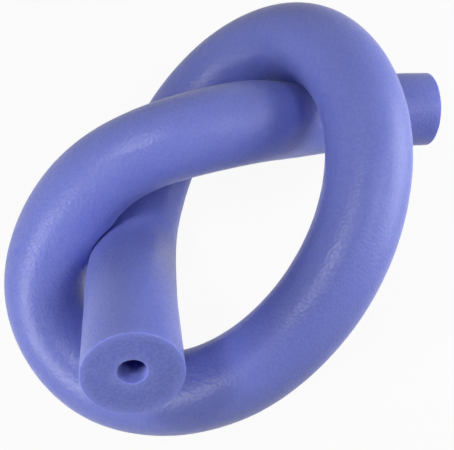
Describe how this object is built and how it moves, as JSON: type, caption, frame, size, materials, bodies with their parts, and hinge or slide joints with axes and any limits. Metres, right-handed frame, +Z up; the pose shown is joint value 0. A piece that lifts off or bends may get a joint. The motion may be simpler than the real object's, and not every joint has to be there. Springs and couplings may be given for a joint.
{
  "type": "pool noodle",
  "caption": "Foam pool noodle with a through bore, tied in an overhand knot and lying on the floor with one end raised.",
  "frame": {"origin": "on the floor, under the middle of the knotted noodle's bounding box", "axes": "+Z up from the floor, +X along the knot's longest side, towards the back end that lies on the floor, +Y away from the raised front end"},
  "size_m": [0.362, 0.3466, 0.2004],
  "materials": {
    "violet_blue_foam": "closed-cell polyethylene foam with a fine pebbled skin, satin"
  },
  "bodies": {
    "root": {"foam_noodle": "violet_blue_foam"}
  },
  "joints": []
}
